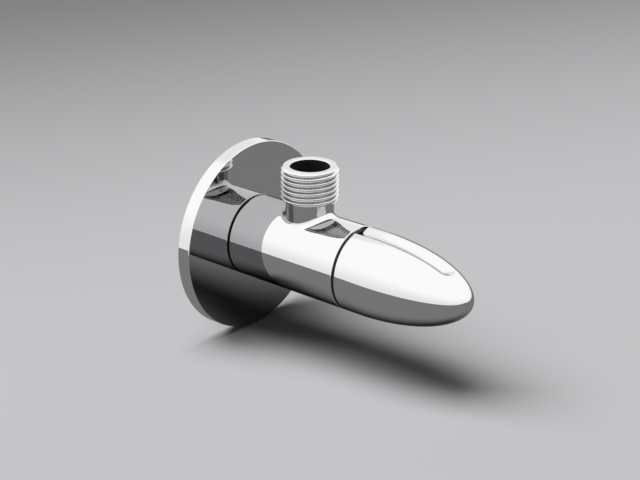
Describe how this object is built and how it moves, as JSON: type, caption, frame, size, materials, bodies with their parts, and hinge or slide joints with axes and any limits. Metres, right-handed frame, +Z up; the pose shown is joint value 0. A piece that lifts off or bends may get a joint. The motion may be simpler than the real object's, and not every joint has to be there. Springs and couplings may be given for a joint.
{
  "type": "angle valve",
  "caption": "Quarter-turn angle valve for a wall: round wall flange, straight body, upright male-threaded outlet, bullet-shaped handle with a thumb groove.",
  "frame": {"origin": "on the valve's axis in the wall plane, the back of the flange, where the inlet thread starts", "axes": "+Z up along the outlet, +Y into the wall along the inlet, the handle towards -Y, +X to the right seen from the front"},
  "size_m": [0.071, 0.1158, 0.071],
  "materials": {
    "polished_chrome": "mirror-polished chrome plate on brass and zinc",
    "turned_brass": "turned brass",
    "black_rubber": "matt black rubber",
    "ceramic": "lapped alumina ceramic",
    "white_plastic": "moulded acetal",
    "black_nylon": "moulded black nylon",
    "red_fibre": "pressed fibre",
    "spring_steel": "dark spring steel"
  },
  "bodies": {
    "valve": {"wall_flange": "polished_chrome", "flange_washer": "black_rubber", "valve_body": "polished_chrome", "seat_washer": "black_rubber", "seal_support": "white_plastic", "fixed_disc": "ceramic", "cartridge_housing": "turned_brass", "head_gasket": "red_fibre", "friction_washer": "white_plastic", "glide_ring": "black_nylon"},
    "handle_set": {"turning_disc": "ceramic", "spindle": "turned_brass", "lower_o_ring": "black_rubber", "upper_o_ring": "black_rubber", "stop_ring": "turned_brass", "circlip": "spring_steel", "spline_insert": "white_plastic", "grub_screw": "spring_steel", "handle": "polished_chrome"}
  },
  "joints": [
    {"name": "handle_turn", "type": "hinge", "parent": "valve", "child": "handle_set", "pos_m": [0, -0.05475, 0], "axis": [0, -1, 0], "range_deg": [0, 90]}
  ]
}
